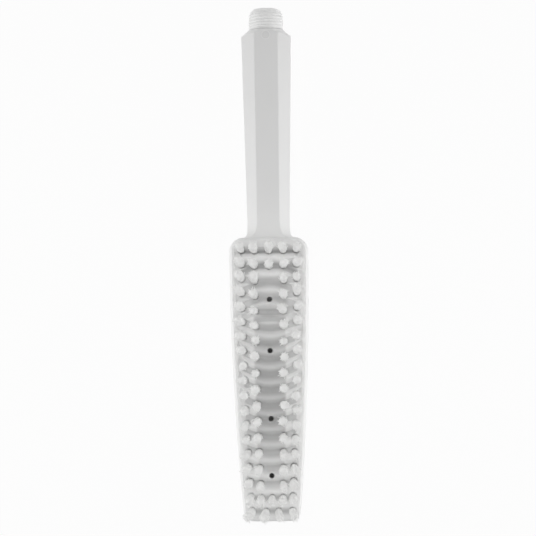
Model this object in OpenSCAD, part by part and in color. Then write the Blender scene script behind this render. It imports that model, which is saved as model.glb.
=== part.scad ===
// Water-fed hand brush. It lies on its back with the bristles up (+Z), the hose thread
// points along +Y and the toe of the head along -Y. X = 0 is the plane of symmetry.

/* [Head] */
// Length of the head, from heel to toe
head_len = 171.9; // [160:0.1:185]
// Width of the head at the heel
head_w = 47.8; // [46:0.1:50]
// Width that the curved sides reach at the toe
toe_w = 33.4; // [31:0.1:36]
// Thickness of the head, from back to face
head_h = 24; // [23.5:0.1:27]
// Radius of the shoulders beside the handle
shoulder_r = 8.9; // [7:0.1:10]
// Radius of the toe's corners, seen from above
toe_r = 6; // [4:0.1:7]
// Length of the back that lies flat, from the heel
back_flat = 80; // [60:1:100]
// How far the back rises from there to the toe
toe_lift = 6; // [3:0.1:7]
// Width of the bevel round the face
bevel_w = 1.6; // [1:0.1:2]
// Depth of the bevel round the face
bevel_h = 2.2; // [1.5:0.1:3]
// How far the sides draw in towards the back
side_draft = 0.6; // [0.2:0.1:1]
// Width of the slanted flat between side and back
back_slant_w = 6; // [4:0.1:8]
// Height of the slanted flat between side and back
back_slant_h = 5.5; // [4:0.1:7]
// Radius along the edges of the back
back_edge_r = 5; // [2:0.1:6]
// How far the middle of the face lies below its edges
trough_depth = 1.3; // [0.8:0.1:1.6]

/* [Grooves] */
// Depth of the cross grooves below the middle of the face
groove_depth = 2.2; // [1.6:0.1:2.6]
// Width of a groove at its mouth
groove_mouth = 7.8; // [7:0.1:8.4]
// Width of a groove at its floor
groove_floor = 2.8; // [2:0.1:3.4]
// Bend of the middle groove, between the centre line and the outer tufts
groove_bow = 5; // [3:0.1:6]
// Smooth land between the grooves' ends and the side of the head
edge_land = 3.8; // [3.2:0.1:4.4]

/* [Handle] */
// Length of the handle, from the heel to the collar
handle_len = 125.1; // [120:0.1:140]
// Width of the handle at the hose end
butt_w = 30.2; // [29:0.1:32]
// Thickness of the handle at the hose end
butt_h = 22; // [22:0.1:24]
// Width of the handle at the head
neck_w = 25.2; // [24:0.1:27]
// Thickness of the handle at the head
neck_h = 20; // [19:0.1:20.5]
// Width of the front flat at the hose end
butt_flat = 14.2; // [13:0.1:15]
// Width of the front flat at the head
neck_flat = 13.3; // [12:0.1:14]
// Height of the side flats at the hose end
butt_side = 8.4; // [7:0.1:9]
// Height of the side flats at the head
neck_side = 8; // [7:0.1:9]
// Radius along the edges of the handle
edge_r = 1.2; // [0.6:0.1:1.5]
// Length over which the slanted flats run out at the head
runout_len = 13; // [9:0.5:18]
// How far the neck widens where it meets the heel
neck_flare = 2.2; // [1:0.1:2.4]
// Length of the turned shoulder beside the collar
cone_len = 3.9; // [3:0.1:5]
// Diameter of the turned shoulder where it meets the handle
cone_d = 29.6; // [28:0.1:31]
// Outside diameter of the ring that the mould leaves on the front flat
mark_d = 5.9; // [4:0.1:7]
// Width of that ring
mark_w = 0.6; // [0.4:0.1:1]
// Depth of that ring
mark_h = 0.15; // [0.1:0.05:0.3]
// Distance between the middle of the ring and the collar
mark_from = 4; // [4:0.1:20]

/* [Hose thread] */
// Outside diameter of the thread (half-inch pipe thread)
thread_d = 20.955; // [20.9:0.005:21]
// Length of the threaded collar
thread_len = 13; // [11:0.1:16]
// Length of its rounded nose
nose_len = 6; // [4:0.1:7]
// Diameter of the flat end of the nose
nose_d = 11.5; // [11:0.1:13]

/* [Water way] */
// Bore of the inlet and the handle
inlet_d = 10; // [8:0.1:10.4]
// Distance between the end of the inlet bore and the heel
inlet_stop = 9; // [7:0.1:14]
// Bore of the channel in the head
channel_d = 6; // [4:0.1:6.4]
// Length of the channel past the last jet
channel_past = 6; // [4:0.1:8]
// Bore of the water jets
jet_d = 3; // [2:0.1:3.4]
// Places of the four jets, counted in inner rows from the first row
jet_row = [3.14, 6.44, 10.81, 14.47]; // [2.5:0.01:15.5]

/* [Tufts] */
// Diameter of the tuft holes
hole_d = 4; // [3.6:0.1:4.2]
// Depth of the tuft holes below the middle of the face
hole_depth = 7.2; // [6.4:0.1:7.4]
// Gap between a tuft and the wall of its hole
hole_gap = 0.05; // [0.03:0.01:0.08]
// Gap between a tuft and the bottom of its hole
hole_under = 0.15; // [0.1:0.05:0.3]
// Height of the trimmed bristles above the face
bristle_h = 29; // [24:0.5:34]
// Diameter of a tuft at its tip
tip_d = 5.6; // [5:0.1:6.2]
// Distance of the first inner row from the heel
inner_first = 9.3; // [8.8:0.1:10]
// Distance of the last inner row from the toe
inner_last = 6.15; // [5.6:0.05:7]
// Number of inner rows before the toe's own rows
inner_rows = 16; // [15:1:17]
// Pitch of the two inner rows at the toe
toe_pitch = 8.1; // [7.6:0.1:8.6]
// Distance of the first outer row from the heel
outer_first = 8.8; // [8.4:0.1:9.4]
// Distance of the last outer row from the toe
outer_last = 6.5; // [6:0.1:7.5]
// Number of outer rows
outer_rows = 19; // [18:1:20]
// Distance of the inner tufts from the centre line, at the heel
inner_column = 8.7; // [8.2:0.1:9.2]
// Distance of the outer tufts from the centre line, at the heel
outer_column = 16.6; // [16:0.1:17]
// Distance of the toe's last inner tufts from the centre line
toe_column = 3.8; // [3.4:0.1:4.2]
// Lean of the first and last rows, away from the middle of the head
fan_angle = 3.9; // [2:0.1:5]
// Outward lean of the outer tufts
outer_lean = 2; // [0:0.1:4]
// Outward lean of the inner tufts
inner_lean = 0.8; // [0:0.1:2]

/* [Tuft anchors] */
// Thickness of the flat wire
anchor_t = 0.4; // [0.3:0.05:0.5]
// Height of the flat wire
anchor_h = 1.8; // [1.4:0.1:2.2]
// Height of the filaments' fold below the wire
fold_h = 1; // [0.8:0.1:1.4]
// Gap between wire and filaments
anchor_gap = 0.02; // [0.01:0.01:0.05]

/* [Hidden] */
$fn = 48;
cut = 1; // how far a cutter passes the surface that it opens
steps = 10; // stations along the curved sides
brush_len = head_len + handle_len + thread_len;
toe_y = -brush_len / 2;
heel_y = toe_y + head_len;
collar_y = heel_y + handle_len;
end_y = brush_len / 2;
axis_z = butt_h / 2;
face_z = head_h - trough_depth; // height of the middle of the face
shoulder_y = heel_y - shoulder_r;
side_start = shoulder_y - toe_y;
side_r = side_start * side_start / (head_w - toe_w); // radius of the curved sides
trough_half = head_w / 2 - bevel_w;
trough_r = (trough_half * trough_half + trough_depth * trough_depth) / (2 * trough_depth);
row_start = heel_y - inner_first;
row_end = toe_y + inner_last;
row_mid = (row_start + row_end) / 2;
row_half = (row_start - row_end) / 2;
inner_pitch = (2 * row_half - 2 * toe_pitch) / (inner_rows - 1);
outer_pitch = (head_len - outer_first - outer_last) / (outer_rows - 1);
inner_names = [for (i = [1:inner_rows + 2]) str("inner_tufts_", i)];
outer_names = [for (i = [1:outer_rows]) str("outer_tufts_", i)];

// Plan and side outline of the head
function half_w(y) = head_w / 2 - pow(max(0, shoulder_y - y), 2) / (2 * side_r);
function back_z(y) =
    toe_lift * pow(max(0, heel_y - back_flat - y) / (head_len - back_flat), 2);

// A rounded corner b between the points a and c, as n + 1 points
function unit(v) = v / norm(v);
function corner(a, b, c, r, n) =
    let (u = unit(a - b), v = unit(c - b),
         half = acos(max(-1, min(1, u * v))) / 2,
         reach = min(r / tan(half), 0.45 * norm(a - b), 0.45 * norm(c - b)),
         fit_r = reach * tan(half),
         mid = b + unit(u + v) * fit_r / sin(half),
         from = b + u * reach - mid, to = b + v * reach - mid,
         turn = 180 - 2 * half, way = sign(from[0] * to[1] - from[1] * to[0]))
    [for (k = [0:n]) let (t = way * turn * k / n)
        mid + [from[0] * cos(t) - from[1] * sin(t), from[0] * sin(t) + from[1] * cos(t)]];

// One closed section of the moulding, from four corners given for its right half:
// face, side top, side bottom and back, with the radii of their edges
function section(y, face, high, low, back, r_face, r_back) =
    let (p = [face, high, low, back, [-back[0], back[1]], [-low[0], low[1]],
              [-high[0], high[1]], [-face[0], face[1]]],
         r = [r_face, r_face, r_back, r_back, r_back, r_back, r_face, r_face],
         n = [2, 2, 3, 3, 3, 3, 2, 2])
    [for (i = [0:7]) each [for (q = corner(p[(i + 7) % 8], p[i], p[(i + 1) % 8], r[i], n[i]))
        [q[0], y, q[1]]]];

// Head section of half width w, its face lowered and its back raised by drop and rise
function head_section(y, w, drop = 0, rise = 0) =
    section(y, [w - bevel_w, head_h - drop], [w, head_h - bevel_h - drop / 2],
        [w - side_draft, back_z(y) + back_slant_h + rise / 2],
        [w - back_slant_w, back_z(y) + rise], 0.5, back_edge_r);

// Handle section at a distance u (0 at the head, 1 at the hose end) with its slanted
// flats on the front run out by the share run, and its sides widened by flare
function blend(a, b, u) = a + (b - a) * u;
function handle_section(y, u, run = 0, flare = 0) =
    let (w = blend(neck_w, butt_w, u) / 2 + flare, h = blend(neck_h, butt_h, u) / 2,
         flat_w = blend(neck_flat, butt_flat, u) / 2,
         side_h = blend(neck_side, butt_side, u) / 2)
    section(y, [blend(flat_w, w - edge_r, run), axis_z + h],
        [w, axis_z + blend(side_h, h - edge_r, run)],
        [w, axis_z - side_h], [flat_w, axis_z - h], edge_r, edge_r);

toe_stations = [for (a = [90:-18:0]) let (
    y = toe_y + toe_r * (1 - sin(a)), t = (1 - sin(a)) * toe_r / bevel_w)
    head_section(y, half_w(y) - toe_r * (1 - cos(a)),
        bevel_h * max(0, 1 - t), toe_r * (1 - cos(a)) / 2)];
side_stations = [for (k = [1:steps]) let (
    y = toe_y + toe_r + (side_start - toe_r) * k / steps) head_section(y, half_w(y))];
shoulder_stations = [for (a = [15:15:75])
    head_section(shoulder_y + shoulder_r * sin(a), half_w(shoulder_y) - shoulder_r * (1 - cos(a)),
        0, back_slant_h * (1 - cos(a)) / 4)];
heel_station = [head_section(heel_y, half_w(shoulder_y) - shoulder_r, 0, back_slant_h / 4)];
neck_stations = [for (k = [0:6]) let (s = k / 6, y = heel_y + runout_len * s * s)
    handle_section(y, runout_len * s * s / handle_len, pow(1 - s, 2), neck_flare * pow(1 - s, 3))];
butt_station = [handle_section(collar_y, 1)];
stations = concat(toe_stations, side_stations, shoulder_stations, heel_station,
    neck_stations, butt_station);

// Skin through all the sections
module loft(rings) {
    n = len(rings[0]);
    last = len(rings) - 1;
    polyhedron(
        points = [for (ring = rings) each ring],
        faces = concat(
            [[for (i = [0:n - 1]) i]],
            [for (k = [0:last - 1]) for (i = [0:n - 1])
                let (j = (i + 1) % n, a = k * n + i, b = k * n + j) each
                [[a, a + n, b], [b, a + n, b + n]]],
            [[for (i = [n - 1:-1:0]) last * n + i]]));
}

// Turns a shape made along +Z so that it stands along +Y on the handle's axis
module on_axis(y) {
    translate([0, y, axis_z]) rotate([-90, 0, 0]) children();
}

module collar() {
    straight = thread_len - nose_len;
    on_axis(collar_y) rotate_extrude() polygon(concat(
        [[0, -cut], [thread_d / 2, -cut]],
        [for (a = [0:15:90]) [nose_d / 2 + (thread_d - nose_d) / 2 * cos(a),
                              straight + nose_len * sin(a)]],
        [[0, thread_len]]));
}

// Removes the corners of the handle outside the turned shoulder
module shoulder_cut() {
    slope = (cone_d - thread_d) / 2 / cone_len;
    on_axis(collar_y) rotate_extrude() polygon([
        [thread_d / 2 - cut * slope, cut], [butt_w, cut], [butt_w, -cone_len - cut],
        [cone_d / 2 + (butt_w - cone_d / 2) * 0.02, -cone_len - cut * 0.02], [cone_d / 2, -cone_len]]);
}

module water_way() {
    bottom = jet_y(jet_row[3]) - channel_past;
    on_axis(heel_y + inlet_stop) cylinder(d = inlet_d, h = end_y - heel_y - inlet_stop + cut);
    on_axis(heel_y + inlet_stop - (inlet_d - channel_d) / 2)
        cylinder(d1 = channel_d, d2 = inlet_d, h = (inlet_d - channel_d) / 2);
    on_axis(bottom) cylinder(d = channel_d, h = heel_y + inlet_stop - bottom - cut);
    for (k = jet_row) translate([0, jet_y(k), axis_z]) cylinder(d = jet_d, h = head_h);
}

// Ring in the front flat of the handle, which rises a little towards the collar
module mould_mark() {
    rise = (butt_h - neck_h) / 2 / handle_len;
    y = collar_y - mark_from;
    translate([0, y, axis_z + butt_h / 2 - mark_from * rise]) rotate([atan(rise), 0, 0])
        translate([0, 0, -mark_h]) difference() {
            cylinder(d = mark_d, h = mark_h + cut);
            translate([0, 0, -cut]) cylinder(d = mark_d - 2 * mark_w, h = mark_h + 3 * cut);
        }
}

// The shallow hollow along the whole face
module trough() {
    translate([0, toe_y - cut, face_z + trough_r]) rotate([-90, 0, 0])
        cylinder(r = trough_r, h = head_len + 2 * cut, $fn = 180);
}

// Lean, bend and place of the rows
function lean(y) = fan_angle * (y - row_mid) / row_half;
function bow(y) = groove_bow * max(0.02, cos(90 * (y - row_mid) / row_half));
function inner_y(i) = i < inner_rows ? row_start - i * inner_pitch
    : row_start - (inner_rows - 1) * inner_pitch - (i - inner_rows + 1) * toe_pitch;
function outer_y(i) = heel_y - outer_first - i * outer_pitch;
function jet_y(k) = row_start - k * inner_pitch;
function taper(y) = 2 * half_w(y) / head_w;

// A groove across the face, square to the tufts of its row, bent towards the toe
module groove(y) {
    reach = half_w(y) - edge_land;
    bend_r = outer_column * outer_column / (2 * bow(y));
    half = asin(reach / bend_r);
    rise = trough_depth + cut;
    wall = (groove_mouth - groove_floor) / 2 / groove_depth;
    top_half = groove_mouth / 2 + wall * rise;
    translate([0, y, face_z]) rotate([-lean(y), 0, 0]) translate([0, bend_r, 0])
        rotate_extrude(angle = 2 * half, start = -90 - half) polygon([
            [bend_r - groove_floor / 2, -groove_depth], [bend_r + groove_floor / 2, -groove_depth],
            [bend_r + top_half, rise], [bend_r - top_half, rise]]);
}

// Carries a shape to a tuft's place on the face, along the tuft's own lean
module on_tuft(x, y, side_lean) {
    translate([x, y, face_z]) rotate([-lean(y), side_lean * sign(x), 0]) children();
}

// Runs its children at each tuft of an inner row, or of an outer row
module at_inner(i) {
    y = inner_y(i);
    x = i == inner_rows + 1 ? toe_column : inner_column * taper(y);
    middle = i < 2 || i == inner_rows;
    for (s = middle ? [-1, 0, 1] : [-1, 1])
        on_tuft(s * x, y + bow(y) * pow(s * x / outer_column, 2), inner_lean) children();
}

module at_outer(i) {
    y = outer_y(i);
    for (s = [-1, 1]) on_tuft(s * outer_column * taper(y), y, outer_lean) children();
}

module tuft_hole() {
    translate([0, 0, -hole_depth]) cylinder(d = hole_d, h = hole_depth + trough_depth + cut);
}

module brush_body() {
    color("whitesmoke") difference() {
        union() {
            difference() {
                loft(stations);
                shoulder_cut();
            }
            collar();
        }
        water_way();
        mould_mark();
        trough();
        for (i = [0:inner_rows - 1]) groove(inner_y(i));
        for (i = [0:inner_rows + 1]) at_inner(i) tuft_hole();
        for (i = [0:outer_rows - 1]) at_outer(i) tuft_hole();
    }
}

// Flat wire that pins a folded tuft to the bottom of its hole
module anchor(gap = 0) {
    w = hole_d - 2 * hole_gap - anchor_t / 8;
    translate([-w / 2 - gap, -anchor_t / 2 - gap, -hole_depth + hole_under + fold_h - gap])
        cube([w + 2 * gap, anchor_t + 2 * gap, anchor_h + 2 * gap]);
}

// One tuft: filaments folded round the wire, packed in the hole and spread at the tip
module tuft() {
    root_r = hole_d / 2 - hole_gap;
    tip_r = tip_d / 2;
    under = -hole_depth + hole_under;
    top = bristle_h + trough_depth;
    color("white") difference() {
        rotate_extrude() polygon(concat(
            [[0, under], [root_r - fold_h / 2, under], [root_r, under + fold_h / 2]],
            [for (k = [0:4]) let (t = k / 4) [root_r + (tip_r - root_r) * t * t, top * (0.1 + 0.86 * t)]],
            [[tip_r * 0.75, top - 0.2], [0, top]]));
        anchor(anchor_gap + hole_gap);
    }
}

module inner_tufts(i) at_inner(i) tuft();

module outer_tufts(i) at_outer(i) tuft();

module inner_anchors() {
    color("silver") for (i = [0:inner_rows + 1]) at_inner(i) anchor();
}

module outer_anchors() {
    color("silver") for (i = [0:outer_rows - 1]) at_outer(i) anchor();
}

brush_body();
for (i = [0:inner_rows + 1]) inner_tufts(i);
for (i = [0:outer_rows - 1]) outer_tufts(i);
inner_anchors();
outer_anchors();
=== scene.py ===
# Water-fed hand brush, dressed for its photograph. Lengths are in millimetres and angles in
# degrees; x runs across the head, y along the brush towards the thread, z up the bristles.
import math

import bpy
import numpy as np
from mathutils import Matrix, Vector
from mathutils.geometry import delaunay_2d_cdt


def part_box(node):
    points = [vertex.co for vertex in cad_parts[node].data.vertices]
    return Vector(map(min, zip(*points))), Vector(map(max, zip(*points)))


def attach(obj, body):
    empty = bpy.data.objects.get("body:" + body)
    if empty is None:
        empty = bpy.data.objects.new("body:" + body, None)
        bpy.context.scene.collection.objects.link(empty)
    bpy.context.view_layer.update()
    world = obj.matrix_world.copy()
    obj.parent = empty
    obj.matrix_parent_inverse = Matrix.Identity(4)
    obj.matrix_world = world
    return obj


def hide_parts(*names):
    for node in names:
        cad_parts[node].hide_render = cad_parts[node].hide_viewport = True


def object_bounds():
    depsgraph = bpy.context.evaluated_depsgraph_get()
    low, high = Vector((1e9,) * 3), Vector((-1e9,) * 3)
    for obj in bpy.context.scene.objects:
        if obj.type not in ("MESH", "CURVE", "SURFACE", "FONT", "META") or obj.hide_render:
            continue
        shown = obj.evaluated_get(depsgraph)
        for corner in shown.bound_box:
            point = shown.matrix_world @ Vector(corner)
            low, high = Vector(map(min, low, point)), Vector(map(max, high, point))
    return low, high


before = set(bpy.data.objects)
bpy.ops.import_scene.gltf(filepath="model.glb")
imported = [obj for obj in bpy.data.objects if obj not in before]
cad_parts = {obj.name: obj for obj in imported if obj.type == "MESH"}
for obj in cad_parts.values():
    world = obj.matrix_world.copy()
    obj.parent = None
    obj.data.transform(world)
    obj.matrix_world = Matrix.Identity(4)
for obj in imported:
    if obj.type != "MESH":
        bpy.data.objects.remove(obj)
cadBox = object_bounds()
mm = 0.001
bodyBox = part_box("brush_body")
toeY = bodyBox[0].y / mm  # the toe of the head
endY = bodyBox[1].y / mm  # the end of the thread
tipZ = cadBox[1].z / mm  # the tips of the bristles


# Small helpers

def smooth(t):
    t = np.clip(t, 0, 1)
    return t * t * (3 - 2 * t)


def softMin(a, b, width):
    h = np.clip(0.5 + 0.5 * (b - a) / width, 0, 1)
    return b * (1 - h) + a * h - width * h * (1 - h)


def softMax(a, b, width):
    return -softMin(-a, -b, width)


def makePiece(name, points, faces):
    mesh = bpy.data.meshes.new(name)
    mesh.from_pydata((np.asarray(points) * mm).tolist(), [], faces)
    mesh.update()
    piece = bpy.data.objects.new(name, mesh)
    bpy.context.scene.collection.objects.link(piece)
    return piece


def applyModifiers(piece):
    bpy.context.view_layer.update()
    seen = piece.evaluated_get(bpy.context.evaluated_depsgraph_get())
    old = piece.data
    piece.data = bpy.data.meshes.new_from_object(seen)
    piece.modifiers.clear()
    bpy.data.meshes.remove(old)


def carve(piece, tool, operation="DIFFERENCE"):
    cut = piece.modifiers.new("cut", "BOOLEAN")
    cut.solver = "MANIFOLD"
    cut.operation = operation
    cut.object = tool
    applyModifiers(piece)
    bpy.data.objects.remove(tool)


def skin(ringCount, ringSize, start=0):
    # quads between rings of equal size, stored one after another
    faces = []
    for k in range(ringCount - 1):
        a = start + k * ringSize
        for i in range(ringSize):
            j = (i + 1) % ringSize
            faces.append((a + i, a + j, a + ringSize + j, a + ringSize + i))
    return faces


def closedTube(name, rings):
    # rings run along the piece and turn so that their faces look outward
    size = len(rings[0])
    points = np.concatenate(rings)
    faces = skin(len(rings), size)
    faces.append(tuple(range(size - 1, -1, -1)))
    faces.append(tuple(range(len(points) - size, len(points))))
    return makePiece(name, points, faces)


def roundCorner(a, b, c, radius, steps):
    # an arc in place of the corner b, as steps + 1 points
    u, v = a - b, c - b
    uLen, vLen = np.linalg.norm(u), np.linalg.norm(v)
    u, v = u / uLen, v / vLen
    half = math.acos(max(-1.0, min(1.0, float(u @ v)))) / 2
    if half > math.pi / 2 - 1e-4:  # no corner to speak of, so a short row of points
        return np.array([b + u * 1e-3 * (steps / 2 - k) for k in range(steps + 1)])
    reach = min(radius / math.tan(half), 0.45 * uLen, 0.45 * vLen)
    middle = b + (u + v) / np.linalg.norm(u + v) * reach / math.cos(half)
    start, end = b + u * reach - middle, b + v * reach - middle
    turn = math.atan2(start[0] * end[1] - start[1] * end[0], start @ end)
    turns = [turn * k / steps for k in range(steps + 1)]
    return np.array([middle + (start[0] * math.cos(t) - start[1] * math.sin(t),
                               start[0] * math.sin(t) + start[1] * math.cos(t)) for t in turns])


# Head of the moulding

head = {
    "length": 170.6, "width": 47.8, "toeWidth": 33.4, "height": 24.0,
    "shoulderRadius": 8.9, "toeRadius": 6.0, "leastRadius": 1.2,
    "backFlat": 78.7, "toeLift": 6.0,  # the back rises towards the toe
    "bevelWidth": 1.6, "bevelHeight": 2.2, "draft": 0.6,
    "slantWidth": 6.0, "slantHeight": 5.5, "toeSlant": 0.55, "heelSlant": 0.25,
    "backEdge": 5.0, "bevelEdge": 0.9, "rimEdge": 0.5,
    "backInset": 9.0, "rimInset": 1.6,  # where the flat back and the face begin
    "trough": 1.3,  # the middle of the face lies this far below its edges
    "faceGrid": 0.55, "backGrid": 5.0, "sharpAngle": 38,
    "faceMargin": 0.6, "backMargin": 0.4, "holeMargin": 0.55,  # clear of edges, in grid steps
    "cornerSteps": (5, 5, 4, 3), "sideSteps": 5,  # up the side: the edges' arcs, the wall
    "roundSteps": {"toe": 11, "toeCorner": 10, "side": 130, "shoulder": 14, "heel": 14},
}
heelY = toeY + head["length"]
shoulderY = heelY - head["shoulderRadius"]
faceZ = head["height"] - head["trough"]
sideRadius = (shoulderY - toeY) ** 2 / (head["width"] - head["toeWidth"])
troughHalf = head["width"] / 2 - head["bevelWidth"]
troughRadius = (troughHalf ** 2 + head["trough"] ** 2) / (2 * head["trough"])


def halfWidth(y):
    return head["width"] / 2 - np.maximum(0, shoulderY - y) ** 2 / (2 * sideRadius)


def backHeight(y):
    run = np.maximum(0, heelY - head["backFlat"] - y) / (head["length"] - head["backFlat"])
    return head["toeLift"] * run ** 2


# Rows of tufts: where they stand and how they lean

rows = {
    "innerFirst": 8.0, "innerLast": 6.15, "innerRows": 16, "toePitch": 8.1,
    "outerFirst": 7.5, "outerLast": 6.5, "outerRows": 19,
    "innerColumn": 8.7, "outerColumn": 16.6, "toeColumn": 3.8,
    "middleRows": (0, 1, 16),  # rows with a third tuft on the centre line
    "fan": 3.9, "innerLean": 0.8, "outerLean": 2.0, "bow": 5.0,
    "jets": (3.14, 6.44, 10.81, 14.47),  # counted in inner rows from the first
}
rowStart = heelY - rows["innerFirst"]
rowEnd = toeY + rows["innerLast"]
rowMiddle = (rowStart + rowEnd) / 2
rowHalf = (rowStart - rowEnd) / 2
innerPitch = (2 * rowHalf - 2 * rows["toePitch"]) / (rows["innerRows"] - 1)
outerPitch = (head["length"] - rows["outerFirst"] - rows["outerLast"]) / (rows["outerRows"] - 1)


def lean(y):
    return rows["fan"] * (y - rowMiddle) / rowHalf


def bow(y):
    return rows["bow"] * max(0.02, math.cos(math.pi / 2 * (y - rowMiddle) / rowHalf))


def innerY(i):
    last = rows["innerRows"] - 1
    return rowStart - min(i, last) * innerPitch - max(0, i - last) * rows["toePitch"]


def outerY(i):
    return heelY - rows["outerFirst"] - i * outerPitch


def tuftPlace(x, y, sideLean):
    turn = Matrix.Rotation(math.radians(sideLean) * np.sign(x), 3, "Y")
    turn = turn @ Matrix.Rotation(math.radians(-lean(y)), 3, "X")
    return np.array([x, y, faceZ]), np.array(turn)


def innerTufts(i):
    y = innerY(i)
    taper = 2 * halfWidth(y) / head["width"]
    x = rows["toeColumn"] if i == rows["innerRows"] + 1 else rows["innerColumn"] * taper
    sides = (-1, 0, 1) if i in rows["middleRows"] else (-1, 1)
    return [tuftPlace(s * x, y + bow(y) * (s * x / rows["outerColumn"]) ** 2, rows["innerLean"])
            for s in sides]


def outerTufts(i):
    y = outerY(i)
    x = rows["outerColumn"] * 2 * halfWidth(y) / head["width"]
    return [tuftPlace(s * x, y, rows["outerLean"]) for s in (-1, 1)]


rowPlaces = {f"inner_tufts_{i + 1}": innerTufts(i) for i in range(rows["innerRows"] + 2)}
rowPlaces.update({f"outer_tufts_{i + 1}": outerTufts(i) for i in range(rows["outerRows"])})
jetPlaces = [rowStart - k * innerPitch for k in rows["jets"]]

# Face of the head: a shallow trough crossed by bent grooves

grooves = {
    "depth": 2.2, "mouth": 7.2, "floor": 2.4, "edgeLand": 3.8, "endSlope": 2.6,
    "crest": 0.35, "foot": 0.5,  # softness of the ridges and of the floors' edges
    "lipHeight": 0.18, "lipWidth": 0.3,  # moulded lip round each jet
}
holes = {"radius": 2.0, "depth": 7.2, "lip": 0.18, "sides": 24, "fitSteps": 6}
water = {
    "axisHeight": 11.0, "inlet": 10.0, "inletStop": 10.3, "channel": 6.0, "past": 6.0, "jet": 3.2,
    "chamfer": 0.6, "chamferRise": 0.8, "over": 1.0, "overFace": 2.0, "sides": 48,
}


def fromGroove(x, y, i):
    # how far points lie from the bent middle line of a groove, towards the heel
    tilt, bend = math.radians(lean(innerY(i))), rows["outerColumn"] ** 2 / (2 * bow(innerY(i)))
    along = (y - innerY(i)) * math.cos(tilt) + grooves["depth"] / 2 * math.sin(tilt)
    return bend - np.hypot(x, along - bend)


def faceHeight(x, y):
    x, y = np.asarray(x, float), np.asarray(y, float)
    low = troughRadius - np.sqrt(troughRadius ** 2 - x ** 2)
    wall = grooves["depth"] / ((grooves["mouth"] - grooves["floor"]) / 2)
    past = np.maximum(0, np.abs(x) - halfWidth(y) + grooves["edgeLand"])
    for i in range(rows["innerRows"]):
        floor = -grooves["depth"] - (y - innerY(i)) * math.tan(math.radians(lean(innerY(i))))
        rise = -grooves["depth"] + (np.abs(fromGroove(x, y, i)) - grooves["floor"] / 2) * wall
        groove = softMax(floor, rise, grooves["foot"]) + past * grooves["endSlope"]
        low = softMin(low, groove, grooves["crest"])
    for jetY in jetPlaces:
        ring = np.hypot(x, y - jetY) - water["jet"] / 2 - grooves["lipWidth"]
        low = low + grooves["lipHeight"] * np.exp(-(ring / grooves["lipWidth"]) ** 2)
    return faceZ + low


# Outline of the head, from the middle of the toe round the right side, as (part, share)
outlineParts = [(part, t) for part, steps in head["roundSteps"].items()
                for t in np.linspace(0, 1, steps + 1)[:-1]] + [("heel", 1.0)]


def outlinePoint(part, share, inset):
    toeR = max(head["toeRadius"] - inset, head["leastRadius"])
    heelR = max(head["shoulderRadius"] - inset, head["leastRadius"])
    toeMiddle, heelMiddle = toeY + inset + toeR, heelY - inset - heelR
    if part == "toe":
        return share * (halfWidth(toeY + inset) - inset - toeR), toeY + inset
    if part == "toeCorner":
        a = (1 - share) * math.pi / 2
        y = toeMiddle - toeR * math.sin(a)
        return halfWidth(y) - inset - toeR * (1 - math.cos(a)), y
    if part == "side":
        y = toeMiddle + (heelMiddle - toeMiddle) * share
        return halfWidth(y) - inset, y
    corner = halfWidth(heelMiddle) - inset
    if part == "shoulder":
        a = share * math.pi / 2
        return corner - heelR * (1 - math.cos(a)), heelMiddle + heelR * math.sin(a)
    return (1 - share) * (corner - heelR), heelY - inset


def slantShare(part, share):
    if part in ("toe", "heel"):
        return head[part + "Slant"]
    if part == "toeCorner":
        return head["toeSlant"] + (1 - head["toeSlant"]) * smooth(share)
    if part == "shoulder":
        return 1 + (head["heelSlant"] - 1) * smooth(share)
    return 1.0


def sideProfile(part, share):
    # (inset, height) pairs up the side of the head, from the back to the face
    x, y = outlinePoint(part, share, 0)
    rimX, rimY = outlinePoint(part, share, head["bevelWidth"])
    back, slant = float(backHeight(y)), slantShare(part, share)
    bevelFoot = head["height"] - head["bevelHeight"]
    rim = float(faceHeight(rimX, rimY))
    bevel = (rim - bevelFoot) * head["bevelWidth"] / head["bevelHeight"]
    corners = np.array([
        (head["backInset"], back), (head["slantWidth"] * slant, back),
        (head["draft"], back + head["slantHeight"] * slant), (0, bevelFoot),
        (bevel, rim), (bevel + head["rimInset"], rim)])
    radii = (head["backEdge"], head["backEdge"], head["bevelEdge"], head["rimEdge"])
    arcs = [roundCorner(*corners[k:k + 3], radius, steps)
            for k, (radius, steps) in enumerate(zip(radii, head["cornerSteps"]))]
    side = np.linspace(arcs[1][-1], arcs[2][0], head["sideSteps"])[1:-1]
    return np.concatenate([corners[:1], arcs[0], arcs[1], side, arcs[2], arcs[3]])


def insideOf(loop, points):
    # which points lie inside a closed loop, by counting crossings
    inside = np.zeros(len(points), bool)
    for (ax, ay), (bx, by) in zip(loop, np.roll(loop, -1, axis=0)):
        if ay != by:
            crosses = (ay > points[:, 1]) != (by > points[:, 1])
            inside ^= crosses & (points[:, 0] < ax + (points[:, 1] - ay) * (bx - ax) / (by - ay))
    return inside


def insetLoop(loop, distance):
    # moves a loop inward, along the mean normal of each point's two edges
    step = np.roll(loop, -1, axis=0) - np.roll(loop, 1, axis=0)
    step /= np.linalg.norm(step, axis=1)[:, None]
    return loop + np.column_stack([-step[:, 1], step[:, 0]]) * distance


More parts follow.
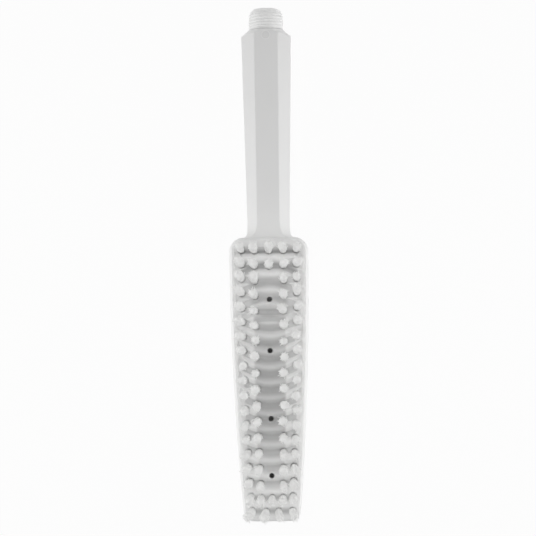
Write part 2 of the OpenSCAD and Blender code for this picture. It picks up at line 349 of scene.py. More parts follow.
def fillLoop(loop, inner, grid, holeLoops=()):
    # triangles over a flat loop with round holes; inner is the loop that bounds the grid
    low, high = loop.min(0), loop.max(0)
    ys = np.arange(low[1] + grid / 2, high[1], grid * 0.87)  # rows of even triangles
    across = np.arange(0, high[0] + grid, grid)
    across = np.concatenate([-across[:0:-1], across])
    points = np.concatenate([np.stack([across + (k % 2) * grid / 2, np.full(len(across), y)], 1)
                             for k, y in enumerate(ys)])
    points = points[insideOf(inner, points)]
    for ring in holeLoops:
        middle, size = ring.mean(0), np.ptp(ring, axis=0).max() / 2
        points = points[np.hypot(*(points - middle).T) > size + grid * head["holeMargin"]]
    loops = [loop, *holeLoops]
    edges, owner, start = [], {}, 0
    for number, ring in enumerate(loops):
        edges += [(start + k, start + (k + 1) % len(ring)) for k in range(len(ring))]
        owner.update({start + k: number for k in range(len(ring))})
        start += len(ring)
    everything = np.concatenate([*loops, points])
    found = delaunay_2d_cdt([Vector(p) for p in everything], edges, [], 0, 1e-7)
    back = [ids[0] for ids in found[3]]
    faces = []
    for face in found[2]:
        ids = [back[v] for v in face]
        owners = {owner.get(v, -1) for v in ids}
        if owners == {0}:
            kept = insideOf(loop, everything[ids].mean(0)[None])[0]
        else:
            kept = len(owners) > 1 or owners == {-1}
        if kept:
            (ax, ay), (bx, by), (cx, cy) = everything[ids]
            turn = (bx - ax) * (cy - ay) - (by - ay) * (cx - ax)
            faces.append(ids if turn > 0 else ids[::-1])
    return points, faces


def headShell():
    half = [sideProfile(*p) for p in outlineParts]
    whole = half + half[-2:0:-1]
    parts = [(p, 1) for p in outlineParts] + [(p, -1) for p in outlineParts[-2:0:-1]]
    rings = []
    for level in range(len(half[0])):
        ring = []
        for (place, side), profile in zip(parts, whole):
            x, y = outlinePoint(*place, profile[level][0])
            ring.append((side * x, y, profile[level][1]))
        rings.append(np.array(ring))
    rings[0][:, 2] = backHeight(rings[0][:, 1])
    rings[-1][:, 2] = faceHeight(rings[-1][:, 0], rings[-1][:, 1])
    size = len(rings[0])
    points = list(np.concatenate(rings))
    faces = skin(len(rings), size)

    inner = insetLoop(rings[-1][:, :2], head["faceGrid"] * head["faceMargin"])
    mouths, walls = [], []
    for places in rowPlaces.values():
        for origin, turn in places:
            mouths.append(holeRing(origin, turn, holes["radius"] + holes["lip"], 0))
            walls.append([holeRing(origin, turn, holes["radius"], -holes["lip"]),
                          holeRing(origin, turn, holes["radius"], -holes["depth"], True)])
    mouthLoops = [m[:, :2] for m in mouths]
    grid, triangles = fillLoop(rings[-1][:, :2], inner, head["faceGrid"], mouthLoops)
    base = len(points) - size  # the rim is the last ring
    gridPoints = np.column_stack([grid, faceHeight(grid[:, 0], grid[:, 1])])
    points += [p for m in mouths for p in m] + list(gridPoints)
    faces += [tuple(base + v for v in t) for t in triangles]
    for k, levels in enumerate(walls):
        ring = base + size + k * holes["sides"]
        for level in levels:
            start = len(points)
            points += list(level)
            for i in range(holes["sides"]):
                j = (i + 1) % holes["sides"]
                faces.append((ring + i, ring + j, start + j, start + i))
            ring = start
        faces.append(tuple(range(ring, ring + holes["sides"])))

    inner = insetLoop(rings[0][:, :2], head["backGrid"] * head["backMargin"])
    grid, triangles = fillLoop(rings[0][:, :2], inner, head["backGrid"])
    start = len(points)
    points += list(np.column_stack([grid, backHeight(grid[:, 1])]))
    for t in triangles:
        faces.append(tuple(v if v < size else start + v - size for v in reversed(t)))
    return makePiece("moulding", np.array(points), faces)


def holeRing(origin, turn, radius, drop, flat=False):
    # the ring where a leaning hole meets the face, or one at a depth below that
    angles = np.linspace(0, 2 * math.pi, holes["sides"], endpoint=False)
    around = origin + radius * (np.outer(np.cos(angles), turn[:, 0])
                                + np.outer(np.sin(angles), turn[:, 1]))
    if flat:
        return around + drop * turn[:, 2]
    level = np.zeros(len(angles))
    for _ in range(holes["fitSteps"]):
        ring = around + level[:, None] * turn[:, 2]
        level += (faceHeight(ring[:, 0], ring[:, 1]) - ring[:, 2]) / turn[2, 2]
    return around + (level + drop)[:, None] * turn[:, 2]


# Handle, its turned shoulder and the threaded collar

handle = {
    "length": 126.4, "buttWidth": 30.2, "buttHeight": 22.0, "neckWidth": 25.2, "neckHeight": 20.0,
    "buttFlat": 14.2, "neckFlat": 13.3, "buttSide": 8.4, "neckSide": 8.0,
    "edge": 1.2, "edgeSteps": 4, "runout": 13.0, "flare": 3.0, "buried": 8.0,
    "cone": 3.9, "coneDiameter": 29.6, "coneEase": 2.4, "coneBlend": 0.25,  # turned shoulder
    "coneLead": 1.0, "coneStart": 0.9,  # ahead of it the taper's rings end and its own begin
    "rootRings": 14, "middleRings": 8, "coneRings": 14,
    "flatSteps": (9, 7, 9, 14, 9, 7, 9, 14),  # strips in each of the eight flats
}
thread = {
    "diameter": 20.955, "pitch": 1.814, "depth": 0.34, "relief": 0.9, "fadeIn": 0.7,
    "noseLength": 6.0, "noseDiameter": 11.5, "leastDepth": 0.15, "stations": 110,
}
flatRise = (handle["buttHeight"] - handle["neckHeight"]) / 2 / handle["length"]
collarY = heelY + handle["length"]
threadLength = endY - collarY


def handleSection(y):
    u = max(0.0, y - heelY) / handle["length"]
    s = min(1.0, math.sqrt(max(0.0, y - heelY) / handle["runout"]))
    run, flare = (1 - s) ** 2, handle["flare"] * (1 - s) ** 3

    def between(name):
        return handle["neck" + name] + (handle["butt" + name] - handle["neck" + name]) * u

    w, h = between("Width") / 2 + flare, between("Height") / 2
    flat, side = between("Flat") / 2, between("Side") / 2
    topX = flat + (w - handle["edge"] - flat) * run
    topZ = side + (h - handle["edge"] - side) * run
    right = [(topX, h), (w, topZ), (w, -side), (flat, -h)]
    corners = np.array(right + [(-x, z) for x, z in reversed(right)])
    arcs = [roundCorner(corners[k - 1], corners[k], corners[(k + 1) % 8], handle["edge"],
                        handle["edgeSteps"]) for k in range(8)]
    ring = []
    for k, arc in enumerate(arcs):
        steps = handle["flatSteps"][k]
        strip = np.linspace(arc[-1], arcs[(k + 1) % 8][0], steps, endpoint=False)
        ring += [*arc[:-1], *strip]
    return np.array(ring)


def threadRadius(v, around):
    # v runs from the foot of the collar to its end
    straight = threadLength - thread["noseLength"]
    full, nose = thread["diameter"] / 2, thread["noseDiameter"] / 2
    share = min(1.0, max(0.0, v - straight) / thread["noseLength"])
    outer = nose + (full - nose) * math.sqrt(1 - share ** 2)
    crest = 0.5 + 0.5 * np.cos(2 * math.pi * (v / thread["pitch"] - around / (2 * math.pi)))
    start = float(smooth((v - thread["relief"]) / thread["fadeIn"]))
    end = float(smooth((threadLength - v) / thread["pitch"]))
    return outer - thread["depth"] * (1 - crest * start) * min(1.0, thread["leastDepth"] + end)


def handleShell():
    coneY = collarY - handle["cone"]
    near = np.linspace(0, 1, handle["rootRings"]) ** 2 * handle["runout"] + heelY
    middle = heelY + handle["runout"], coneY - handle["coneLead"]
    along = np.linspace(*middle, handle["middleRings"])[1:]
    cone = np.linspace(coneY - handle["coneStart"], collarY, handle["coneRings"])
    coneSlope = (handle["coneDiameter"] - thread["diameter"]) / 2
    rings = []
    for y in [heelY - handle["buried"], *near, *along, *cone]:
        ring = handleSection(y)
        before = collarY - y
        limit = thread["diameter"] / 2 + coneSlope * before / handle["cone"]
        limit += max(0, before - handle["cone"]) * handle["coneEase"]
        if before < handle["cone"] + handle["coneLead"]:
            radius = np.linalg.norm(ring, axis=1)
            ring = ring * (softMin(radius, limit, handle["coneBlend"]) / radius)[:, None]
        rings.append(np.column_stack([ring[:, 0], np.full(len(ring), y),
                                      water["axisHeight"] + ring[:, 1]]))
    around = np.arctan2(ring[:, 0], ring[:, 1])
    for v in np.linspace(0, threadLength, thread["stations"]):
        radius = threadRadius(v, around)
        rings.append(np.column_stack([radius * np.sin(around), np.full(len(ring), collarY + v),
                                      water["axisHeight"] + radius * np.cos(around)]))
    return closedTube("handle", rings)


def turned(name, profile, sides):
    # a solid of revolution on the handle's axis, from (y, radius) pairs
    angles = np.linspace(0, 2 * math.pi, sides, endpoint=False)
    rings = [np.column_stack([r * np.sin(angles), np.full(sides, y),
                              water["axisHeight"] + r * np.cos(angles)]) for y, r in profile]
    return closedTube(name, rings)


def upright(name, places, radius, low, high, sides):
    # round pins that stand on end, in one mesh
    angles = np.linspace(0, 2 * math.pi, sides, endpoint=False)
    points, faces = [], []
    for x, y in places:
        start = len(points)
        for z in (low, high):
            points += [(x + radius * math.cos(a), y + radius * math.sin(a), z) for a in angles]
        faces += skin(2, sides, start)
        faces.append(tuple(range(start + sides - 1, start - 1, -1)))
        faces.append(tuple(range(start + sides, start + 2 * sides)))
    return makePiece(name, points, faces)


def waterTool():
    inlet, channel = water["inlet"] / 2, water["channel"] / 2
    stop, bottom = heelY + water["inletStop"], min(jetPlaces) - water["past"]
    return turned("waterTool", [
        (bottom, channel), (stop - inlet + channel, channel), (stop, inlet),
        (endY - water["chamfer"], inlet), (endY + water["over"], inlet + water["chamferRise"])],
        water["sides"])


mark = {"diameter": 5.7, "width": 0.65, "depth": 0.22, "fromCollar": 4.0, "over": 2.0, "sides": 40}
markCentre = (0.0, collarY - mark["fromCollar"],
              water["axisHeight"] + handle["buttHeight"] / 2 - mark["fromCollar"] * flatRise)


def markTool():
    # shallow ring in the front flat, as a tube that stands on the flat
    level, high = markCentre[2] - mark["depth"], mark["over"]
    angles = np.linspace(0, 2 * math.pi, mark["sides"], endpoint=False)
    outer, inner = mark["diameter"] / 2, mark["diameter"] / 2 - mark["width"]
    rings = []
    for radius, z in ((inner, high), (inner, 0), (outer, 0), (outer, high)):
        y = radius * np.sin(angles)
        rings.append(np.column_stack([radius * np.cos(angles), markCentre[1] + y,
                                      level + z + y * flatRise]))
    points, size = np.concatenate(rings), mark["sides"]
    faces = skin(4, size)
    faces += [(3 * size + i, 3 * size + (i + 1) % size, (i + 1) % size, i) for i in range(size)]
    return makePiece("markTool", points, faces)


# The tufts let the light through, so the colour of the face carries their soft shade as painted
# shade;
# below 0 it is a painted highlight. 1 is the darkest painted shade and -1 the palest painted
# highlight.
# Stations are shares of the head's length from the heel, and "across" values are shares of its half
# width.
shade = {
    "stations": (0.05, 0.10, 0.16, 0.31, 0.40, 0.64, 0.72, 0.80, 0.87, 0.90, 1.0),
    "grooves": (1.0, 0.8, 0.68, 0.73, 0.82, 0.84, 0.75, 0.57, 0.55, 0.3, 0.3),
    "ridges": (0.03, 0.07, 0.085, 0.16, 0.44, 0.57, 0.41, 0.25, 0.14, 0.08, 0.12),
    "rampShare": 0.85, "rampReach": 3.1, "rampSkew": 1.6, "rampShift": 0.9,  # across a groove
    "skewFull": 0.5,  # the skew is full this share of the way from the middle row to the ends
    "acrossCorridor": 0.36, "corridorFade": 0.2,  # the open middle of the face
    "outside": 0.45, "lift": 0.9, "floorStart": 0.75,  # between the tufts, outside the corridor
    "outsideStart": 0.11, "outsideEnd": 0.84, "outsideFade": 0.03,
    "acrossEdge": 0.7, "edgeFade": 0.08, "margin": 0.6,  # the land beside the outer tufts
    "heel": 4.7, "heelFade": 1.5,  # the margin along the heel stays pale
    "contact": 0.42, "contactReach": 0.8,  # beside each tuft
    "toeGaps": 0.75, "toeReach": 2.2, "acrossToe": 0.75, "toeFade": 0.12,  # past the last groove
    "ends": 0.1, "handleRoot": 0.1, "rootReach": 4.5,
    "collarFoot": 0.3, "footPlace": 0.2, "footReach": 0.25, "threadStart": 0.5,
    "bevelReach": 1.8, "bevelUnder": 0.1, "faceInset": 2.6, "endInset": 2.0, "deepest": 1.6,
}


def markHollows(piece):
    # keeps the painted shade and painted highlight of each point of the moulding, for the
    # material's colour
    spots = np.zeros(len(piece.data.vertices) * 3)
    piece.data.vertices.foreach_get("co", spots)
    x, y, z = (spots.reshape(-1, 3) / mm).T
    rim = shade["bevelReach"]
    top = z > head["height"] - head["bevelHeight"] - shade["bevelUnder"]
    side = np.abs(x) > halfWidth(y) - rim
    # a painted highlight on the head's side bevels and on the thread
    paintedPale = (top & side & (y < heelY)) | (y > collarY + shade["threadStart"])
    kept = np.where(paintedPale, -1.0, 0.0)
    # painted shade along the heel and toe edges of the face
    kept[top & ~side & ((np.abs(y - heelY + rim / 2) < rim / 2) | (y < toeY + rim))] = shade["ends"]
    # a painted shadow line round the foot of the collar
    kept[np.abs(y - collarY - shade["footPlace"]) < shade["footReach"]] = shade["collarFoot"]
    # painted shade on the handle where it meets the heel, fading away from it
    root = top & (y >= heelY) & (y < heelY + shade["rootReach"])
    kept[root] = shade["handleRoot"] * (1 - smooth((y[root] - heelY) / shade["rootReach"]))
    inside = (y < heelY - shade["endInset"]) & (y > toeY + shade["endInset"])
    inside &= np.abs(x) < halfWidth(y) - shade["faceInset"]
    inside &= z > faceZ - grooves["depth"] * shade["deepest"]
    x, y, z = x[inside], y[inside], z[inside]
    trough = troughRadius - np.sqrt(troughRadius ** 2 - x ** 2)
    sunk = smooth((trough - z + faceZ) / grooves["depth"])
    ramp = np.zeros(len(x))
    for i in range(rows["innerRows"]):
        # the shade ends slowly on the side away from the head's middle, and soon on the other
        skew = np.clip((innerY(i) - rowMiddle) / (shade["skewFull"] * rowHalf), -1, 1)
        away = fromGroove(x, y, i) + shade["rampShift"] * skew
        reach = shade["rampReach"] + np.where(away > 0, 1, -1) * shade["rampSkew"] * skew
        ramp = np.maximum(ramp, 1 - smooth(np.abs(away) / reach))
    # painted shade in the grooves, on the ridges and along the corridor; painted highlight outside
    # it and beside the outer tufts
    along, across = (heelY - y) / head["length"], np.abs(x) / halfWidth(y)
    deep = np.interp(along, shade["stations"], shade["grooves"])
    high = np.interp(along, shade["stations"], shade["ridges"])
    between = smooth((across - shade["acrossCorridor"]) / shade["corridorFade"])
    between *= smooth((along - shade["outsideStart"]) / shade["outsideFade"])
    between *= 1 - smooth((along - shade["outsideEnd"]) / shade["outsideFade"])
    floor = smooth((sunk - shade["floorStart"]) / (1 - shade["floorStart"]))
    beside = shade["outside"] * deep * floor - shade["lift"] * (1 - floor)
    mixed = sunk + (ramp - sunk) * shade["rampShare"]
    tone = (high + (deep - high) * mixed) * (1 - between) + beside * between
    outer = smooth((across - shade["acrossEdge"]) / shade["edgeFade"])
    tone = tone * (1 - outer) - shade["margin"] * outer
    tone *= smooth((heelY - shade["heel"] - y) / shade["heelFade"])
    # painted shade round the foot of each tuft
    nearest = np.min([np.hypot(x - place[0], y - place[1])
                      for places in rowPlaces.values() for place, _ in places], axis=0)
    contact = 1 - smooth((nearest - holes["radius"]) / shade["contactReach"])
    tone = np.maximum(tone, shade["contact"] * contact)
    # painted shade in the gaps between the tufts of the last two rows
    for i in (rows["innerRows"], rows["innerRows"] + 1):
        gap = np.exp(-((y - innerY(i)) / shade["toeReach"]) ** 2)
        gap *= 1 - smooth((across - shade["acrossToe"]) / shade["toeFade"])
        tone = np.maximum(tone, shade["toeGaps"] * gap)
    kept[inside] = tone
    piece.data.attributes.new("shade", "FLOAT", "POINT").data.foreach_set("value", kept)


moulding = headShell()
print("head shell:", len(moulding.data.polygons), "faces")
carve(moulding, handleShell(), "UNION")
carve(moulding, waterTool())
jetCentres = [(0, y) for y in jetPlaces]
carve(moulding, upright("jetTool", jetCentres, water["jet"] / 2, water["axisHeight"],
                        head["height"] + water["overFace"], water["sides"] // 2))
carve(moulding, markTool())
moulding.data.shade_smooth()
moulding.data.set_sharp_from_angle(angle=math.radians(head["sharpAngle"]))
weighted = moulding.modifiers.new("flats", "WEIGHTED_NORMAL")
weighted.keep_sharp = True
applyModifiers(moulding)
moulding.name = "moulding"
markHollows(moulding)
print("moulding:", len(moulding.data.polygons), "faces")

# Tufts of filaments, one piece for each row

bristles = {
    "perTuft": 72, "root": 0.37, "tip": 0.41, "sides": 5, "seed": 11,
    "packRadius": 1.66, "tipRadius": 2.75, "opening": 0.45, "height": 30.3,
    "bottom": 6.9, "wireHalf": 0.42,  # the filaments pass on either side of the wire
    "foldIn": 0.95, "foldOut": 0.7, "jitter": 0.05, "spread": (0.86, 1.1),
    "stray": 0.36, "wave": 0.2, "waveTurn": 5, "loose": 0.09, "looseLeast": 0.3, "looseReach": 1.0,
    "leanNoise": 1.25, "trimNoise": 0.22, "tipRise": 0.1, "tipRound": 0.26, "margin": 0.02,
    "levels": (-3.5, -0.4, 1.8, 5.5, 11.0, 17.0, 23.0, 27.5),  # from the face, between the two ends
    "coreShare": 0.84, "coreTop": 28.4, "coreSides": 12, "coreUneven": 0.1,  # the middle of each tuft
    "coreLevels": (0.2, 3, 9, 18), "coreCap": ((-1.6, 1.0), (-0.6, 0.88), (0, 0.55), (0.1, 0.1)),
}
levels = np.array([-bristles["bottom"], *bristles["levels"], bristles["height"]])
coreLevels = [(level, 1.0) for level in bristles["coreLevels"]]
coreLevels += [(bristles["coreTop"] + rise, share) for rise, share in bristles["coreCap"]]


def tuftMesh(rng, origin, turn):
    count, sides = bristles["perTuft"], bristles["sides"]
    k = np.arange(count)
    radius = bristles["packRadius"] * np.sqrt((k + 0.5) / count)
    angle = k * math.pi * (3 - math.sqrt(5)) + rng.uniform(0, 2 * math.pi)
    packed = np.stack([radius * np.cos(angle), radius * np.sin(angle)], 1)
    packed += rng.normal(0, bristles["jitter"], packed.shape)
    spread = bristles["tipRadius"] / bristles["packRadius"] * rng.uniform(*bristles["spread"])
    drift = np.radians(rng.normal(0, bristles["leanNoise"], 2)) * bristles["height"]
    stray = rng.normal(0, bristles["stray"], (count, 2))
    loose = (rng.random(count) < bristles["loose"])[:, None]
    outward = packed / np.linalg.norm(packed, axis=1)[:, None]
    reach = rng.uniform(bristles["looseLeast"], bristles["looseReach"], (count, 1))
    stray += loose * outward * reach
    waveWay = rng.normal(0, bristles["wave"], (count, 2))
    phase = rng.uniform(0, 2 * math.pi, (count, 1))
    trim = -np.abs(rng.normal(0, bristles["trimNoise"], count))

    def opened(place, level):
        u = max(0.0, level) / bristles["height"]
        return place * (1 + (spread - 1) * u ** bristles["opening"]) + drift * u ** 2

    centres = []
    for level in levels:
        u = max(0.0, level) / bristles["height"]
        wave = waveWay * u * np.sin(phase + bristles["waveTurn"] * u)
        place = opened(packed, level) + stray * u ** 2 + wave
        if level < -1:  # down in the hole, the filaments are folded round the wire
            held = bristles["wireHalf"] + bristles["foldOut"] * np.abs(packed[:, 1])
            place = np.stack([packed[:, 0] * bristles["foldIn"], np.sign(packed[:, 1]) * held], 1)
        height = np.full(count, level) + (trim if level == levels[-1] else 0)
        centres.append(np.column_stack([place, height]))
    centres = np.array(centres)
    centres = np.concatenate([centres, centres[-1:] + (0, 0, bristles["tipRise"])])
    radii = np.interp(levels, (0, bristles["height"]), (bristles["root"] / 2, bristles["tip"] / 2))
    radii = np.append(radii, bristles["tip"] * bristles["tipRound"])
    turns = np.linspace(0, 2 * math.pi, sides, endpoint=False) + rng.uniform(0, 2, (count, 1))
    ring = np.stack([np.cos(turns), np.sin(turns), np.zeros_like(turns)], -1)
    # axes: filament, level, side, xyz
    points = centres.transpose(1, 0, 2)[:, :, None, :] + ring[:, None] * radii[None, :, None, None]
    points = origin + points @ turn.T
    # what leans out past the toe is pulled back, and the tips are cut level
    past = np.maximum(0, toeY + bristles["margin"] - points[:, -2, :, 1].min(1))
    share = np.append(levels.clip(0) / bristles["height"], 1)
    points[:, :, :, 1] += past[:, None, None] * share[None, :, None] ** 2
    points[:, :, :, 2] = np.minimum(points[:, :, :, 2], tipZ - bristles["margin"])
    around = np.linspace(0, 2 * math.pi, bristles["coreSides"], endpoint=False)
    lobes = bristles["coreUneven"] * np.sin(3 * around + rng.uniform(0, 6))
    uneven = 1 + lobes * rng.uniform(0.3, 1)
    rim = np.stack([np.cos(around) * uneven, np.sin(around) * uneven], 1)
    rim *= bristles["packRadius"] * bristles["coreShare"]
    core = np.concatenate([np.column_stack([opened(rim * share, level), np.full(len(rim), level)])
                           for level, share in coreLevels])
    core = origin + core @ turn.T
    return np.concatenate([points.reshape(-1, 3), core])


def prism(ringCount, sides, start):
    first, last = start, start + (ringCount - 1) * sides
    return skin(ringCount, sides, start) + [tuple(range(first + sides - 1, first - 1, -1)),
                                            tuple(range(last, last + sides))]


def bundleFaces(tuftCount):
    faces, start, ringCount = [], 0, len(levels) + 1
    for _ in range(tuftCount):
        for _ in range(bristles["perTuft"]):
            faces += prism(ringCount, bristles["sides"], start)
            start += ringCount * bristles["sides"]
        faces += prism(len(coreLevels), bristles["coreSides"], start)
        start += len(coreLevels) * bristles["coreSides"]
    return faces


rng = np.random.default_rng(bristles["seed"])
tuftPieces = []
for node, places in rowPlaces.items():
    points = np.concatenate([tuftMesh(rng, *place) for place in places])
    row = makePiece(node.replace("tufts", "filaments"), points, bundleFaces(len(places)))
    row.visible_shadow = False  # milky nylon passes most light on, so the lamps reach the face
    row.data.shade_smooth()
    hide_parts(node)
    tuftPieces.append(row)
print("tufts:", sum(len(r.data.polygons) for r in tuftPieces), "faces")


# Materials

class Wire:
    # a value in a material, so that sums on it read as sums
    def __init__(self, finish, socket):
        self.finish, self.socket = finish, socket

    def math(self, operation, a, b):
        return self.finish.node("ShaderNodeMath", {"operation": operation}, {0: a, 1: b})

    def __add__(self, other):
        return self.math("ADD", self, other)

    def __sub__(self, other):
        return self.math("SUBTRACT", self, other)

    def __rsub__(self, other):
        return self.math("SUBTRACT", other, self)

    def __mul__(self, other):
        return self.math("MULTIPLY", self, other)

    def __gt__(self, other):
        return self.math("GREATER_THAN", self, other)

    def __lt__(self, other):
        return self.math("LESS_THAN", self, other)

    __radd__, __rmul__ = __add__, __mul__


class Finish:
    # one node tree of a material or of the world
    def __init__(self, owner):
        owner.use_nodes = True
        self.tree = owner.node_tree
        self.tree.nodes.clear()

    def node(self, kind, settings=None, sockets=None, out=0):
        made = self.tree.nodes.new(kind)
        for name, value in (settings or {}).items():
            setattr(made, name, value)
        for key, value in (sockets or {}).items():
            if isinstance(value, Wire):
                self.tree.links.new(value.socket, made.inputs[key])
            else:
                made.inputs[key].default_value = value
        return Wire(self, made.outputs[out]) if made.outputs else None

    def noise(self, place, scale, detail=2, roughness=0.5):
        return self.node("ShaderNodeTexNoise", {}, {
            "Vector": place, "Scale": scale, "Detail": detail, "Roughness": roughness})

    def mix(self, share, colour, other):
        return self.node("ShaderNodeMix", {"data_type": "RGBA"}, {
            0: share, 6: colour, 7: other}, out=2)


def grey(level):
    return (level, level, level, 1)


plastic = {
    "pale": (0.91, 0.91, 0.905, 1), "shade": (0.885, 0.885, 0.88, 1),
    # the colours of the painted shade and of the painted highlight
    "shaded": (0.34, 0.34, 0.34, 1), "speckle": 0.12, "paintedHighlight": (0.97, 0.97, 0.965, 1),
    "mottleScale": 55, "flowScale": 260, "flowShare": 0.6,
    "grainScale": 2600, "grainHeight": 0.000014, "grainStrength": 0.5,
    "roughness": 0.42, "roughnessRange": 0.12, "ior": 1.49, "markShade": 0.07,
}


def plasticFinish():
    material = bpy.data.materials.new("whiteMoulding")
    finish = Finish(material)
    place = finish.node("ShaderNodeTexCoord", out=3)  # metres on the piece itself
    mottle = finish.noise(place, plastic["mottleScale"], 4, 0.6)
    grain = finish.noise(place, plastic["grainScale"], 2)
    flow = finish.noise(place, plastic["flowScale"], 3)
    colour = finish.mix(mottle, plastic["shade"], plastic["pale"])
    # painted shade from the shade attribute darkens the colour, and below 0 it pales to a painted
    # highlight
    shaded = finish.node("ShaderNodeAttribute", {"attribute_name": "shade"}, out=2)
    speckled = 1 - plastic["speckle"] / 2 + plastic["speckle"] * flow
    colour = finish.mix(shaded * speckled, colour, plastic["shaded"])
    colour = finish.mix(0.0 - shaded, colour, plastic["paintedHighlight"])
    # painted shade inside the ring mark and a painted highlight on its rim
    fromMark = finish.node("ShaderNodeVectorMath", {"operation": "DISTANCE"}, {
        0: place, 1: tuple(v * mm for v in markCentre)}, out=1)
    rim, width = mark["diameter"] / 2 * mm, mark["width"] * mm
    colour = finish.mix(plastic["markShade"] * (fromMark < rim), colour, plastic["shaded"])
    colour = finish.mix((fromMark < rim) * (fromMark > rim - width), colour, plastic["paintedHighlight"])
    bump = finish.node("ShaderNodeBump", {}, {
        "Strength": plastic["grainStrength"], "Distance": plastic["grainHeight"],
        "Height": grain + plastic["flowShare"] * flow})
    satin = plastic["roughness"] - plastic["roughnessRange"] / 2 + plastic["roughnessRange"] * flow
    shader = finish.node("ShaderNodeBsdfPrincipled", {}, {
        "Base Color": colour, "Roughness": satin, "Normal": bump, "IOR": plastic["ior"]})
    finish.node("ShaderNodeOutputMaterial", {}, {"Surface": shader})
    return material


filament = {
    "pale": (0.94, 0.94, 0.935, 1), "shade": (0.86, 0.86, 0.855, 1), "eachShare": 0.6,
    "streakScale": 900, "roughness": 0.5, "roughnessRange": 0.1, "ior": 1.5, "shine": 0.15,
}


def filamentFinish():
    material = bpy.data.materials.new("whiteFilament")
    finish = Finish(material)
    place = finish.node("ShaderNodeTexCoord", out=3)
    each = finish.node("ShaderNodeNewGeometry", out=8)  # one value for each filament
    streak = finish.noise(place, filament["streakScale"], 2)
    paleness = each * filament["eachShare"] + streak * (1 - filament["eachShare"])
    colour = finish.mix(paleness, filament["shade"], filament["pale"])
    satin = filament["roughness"] + filament["roughnessRange"] * streak
    shader = finish.node("ShaderNodeBsdfPrincipled", {}, {
        "Base Color": colour, "Roughness": satin, "IOR": filament["ior"],
        "Specular IOR Level": filament["shine"]})
    finish.node("ShaderNodeOutputMaterial", {}, {"Surface": shader})
    return material


anchorWire = {
    "dark": 0.42, "bright": 0.6, "drawnScale": 1800, "roughness": 0.3, "roughnessRange": 0.15,
    "lineHeight": 0.00002, "lineStrength": 0.3,
}


def wireFinish():
    material = bpy.data.materials.new("anchorWire")
    finish = Finish(material)
    place = finish.node("ShaderNodeTexCoord", out=3)
    drawn = finish.noise(place, anchorWire["drawnScale"], 3)
    colour = finish.mix(drawn, grey(anchorWire["dark"]), grey(anchorWire["bright"]))
    bump = finish.node("ShaderNodeBump", {}, {
        "Strength": anchorWire["lineStrength"], "Distance": anchorWire["lineHeight"],
        "Height": drawn})
    shader = finish.node("ShaderNodeBsdfPrincipled", {}, {
        "Base Color": colour, "Metallic": 1.0, "Normal": bump,
        "Roughness": anchorWire["roughness"] + anchorWire["roughnessRange"] * drawn})
    finish.node("ShaderNodeOutputMaterial", {}, {"Surface": shader})
    return material


def dress(piece, material):
    piece.data.materials.clear()
    piece.data.materials.append(material)


dress(moulding, plasticFinish())
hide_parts("brush_body")
bristleMaterial = filamentFinish()
for row in tuftPieces:
    dress(row, bristleMaterial)
wireMaterial = wireFinish()
for node in ("inner_anchors", "outer_anchors"):
    dress(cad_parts[node], wireMaterial)
for piece in [moulding, *tuftPieces]:
    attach(piece, "root")
print("materials set")

# Floor, light and camera

studio = {
    "floorSize": 6000.0, "floorColour": 0.88, "whiteShare": 0.95,
    "zenith": 0.0, "horizon": 1.5, "horizonPower": 0.6,
}


def seenWhite(finish):
    # 1 for what the camera, a reflection or a clear body sees, 0 for what lights the scene
    rays = [finish.node("ShaderNodeLightPath", out=k) for k in (0, 3, 6)]
    seen = finish.node("ShaderNodeMath", {"operation": "MAXIMUM"}, {0: rays[0], 1: rays[1]})
    return finish.node("ShaderNodeMath", {"operation": "MAXIMUM"}, {0: seen, 1: rays[2]})


def floorFinish():
    material = bpy.data.materials.new("paleFloor")
    finish = Finish(material)
    lit = finish.node("ShaderNodeBsdfDiffuse", {}, {"Color": grey(studio["floorColour"])})
    white = finish.node("ShaderNodeEmission", {}, {"Color": grey(1), "Strength": 1.0})
    mixed = finish.node("ShaderNodeMixShader", {}, {
        0: seenWhite(finish) * studio["whiteShare"], 1: lit, 2: white})
    finish.node("ShaderNodeOutputMaterial", {}, {"Surface": mixed})
    return material


def worldFinish():
    world = bpy.data.worlds.new("softbox")
    bpy.context.scene.world = world
    finish = Finish(world)
    way = finish.node("ShaderNodeTexCoord", out=0)  # the direction into the sky
    up = finish.node("ShaderNodeSeparateXYZ", {}, {0: way}, out=2)
    climb = finish.node("ShaderNodeMath", {"operation": "MAXIMUM"}, {0: up, 1: 0.0})
    climb = finish.node("ShaderNodeMath", {"operation": "POWER"}, {
        0: climb, 1: studio["horizonPower"]})
    strength = studio["horizon"] + climb * (studio["zenith"] - studio["horizon"])
    dome = finish.node("ShaderNodeBackground", {}, {"Color": grey(1), "Strength": strength})
    white = finish.node("ShaderNodeBackground", {}, {"Color": grey(1), "Strength": 1.0})
    mixed = finish.node("ShaderNodeMixShader", {}, {0: seenWhite(finish), 1: dome, 2: white})
    finish.node("ShaderNodeOutputWorld", {}, {"Surface": mixed})


half = studio["floorSize"] / 2
floor = makePiece("floor", [(-half, -half, 0), (half, -half, 0), (half, half, 0), (-half, half, 0)],
                  [(0, 1, 2, 3)])
dress(floor, floorFinish())
worldFinish()

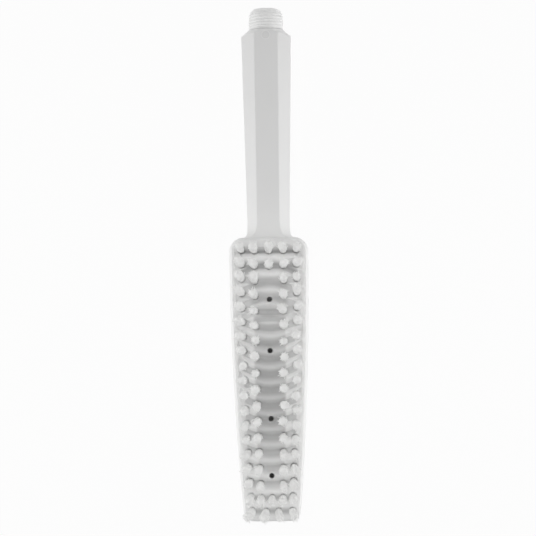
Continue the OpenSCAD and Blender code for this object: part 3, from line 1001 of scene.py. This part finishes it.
headAim = (0.0, -40.0, 20.0)  # the side lamps look at the middle of the head
lamps = {  # power in watts
    "above": {"place": (0.0, -60.0, 480.0), "aim": (0.0, -59.0, 0.0),
              "size": (300.0, 300.0), "power": 0.5},
    "left": {"place": (-430.0, -70.0, 100.0), "aim": headAim,
             "size": (420.0, 200.0), "power": 0.51},
    "right": {"place": (430.0, -70.0, 100.0), "aim": headAim,
              "size": (420.0, 200.0), "power": 0.55},
    "handleEnd": {"place": (0.0, 480.0, 260.0), "aim": headAim,
                  "size": (400.0, 200.0), "power": 0.14},
}


def addLamp(name, place, aim, size, power):
    data = bpy.data.lights.new(name, "AREA")
    data.shape, data.energy = "RECTANGLE", power
    data.size, data.size_y = size[0] * mm, size[1] * mm
    lamp = bpy.data.objects.new(name, data)
    lamp.location = Vector(place) * mm
    lamp.rotation_euler = (Vector(place) - Vector(aim)).to_track_quat("Z", "Y").to_euler()
    bpy.context.scene.collection.objects.link(lamp)


for name, facts in lamps.items():
    addLamp(name, **facts)

camera = {
    "place": (34.0, -49.0, 1512.0), "aim": (-0.8, -2.6, 12.0), "roll": -0.82,
    "focalPixels": 2477.0, "framePixels": 536.0, "sensor": 36.0, "clip": (0.05, 20),
}


def addCamera():
    data = bpy.data.cameras.new("camera")
    data.sensor_width = camera["sensor"]
    data.lens = camera["sensor"] * camera["focalPixels"] / camera["framePixels"]
    data.clip_start, data.clip_end = camera["clip"]
    place, aim = Vector(camera["place"]), Vector(camera["aim"])
    ahead = (aim - place).normalized()
    right = ahead.cross(Vector((0, 1, 0))).normalized()
    up = right.cross(ahead)
    turn = Matrix((right, up, -ahead)).transposed()
    turn = turn @ Matrix.Rotation(math.radians(camera["roll"]), 3, "Z")
    seen = bpy.data.objects.new("camera", data)
    seen.matrix_world = Matrix.Translation(place * mm) @ turn.to_4x4()
    bpy.context.scene.collection.objects.link(seen)
    bpy.context.scene.camera = seen


addCamera()
bpy.context.scene.view_settings.view_transform = "Standard"
print("studio set")
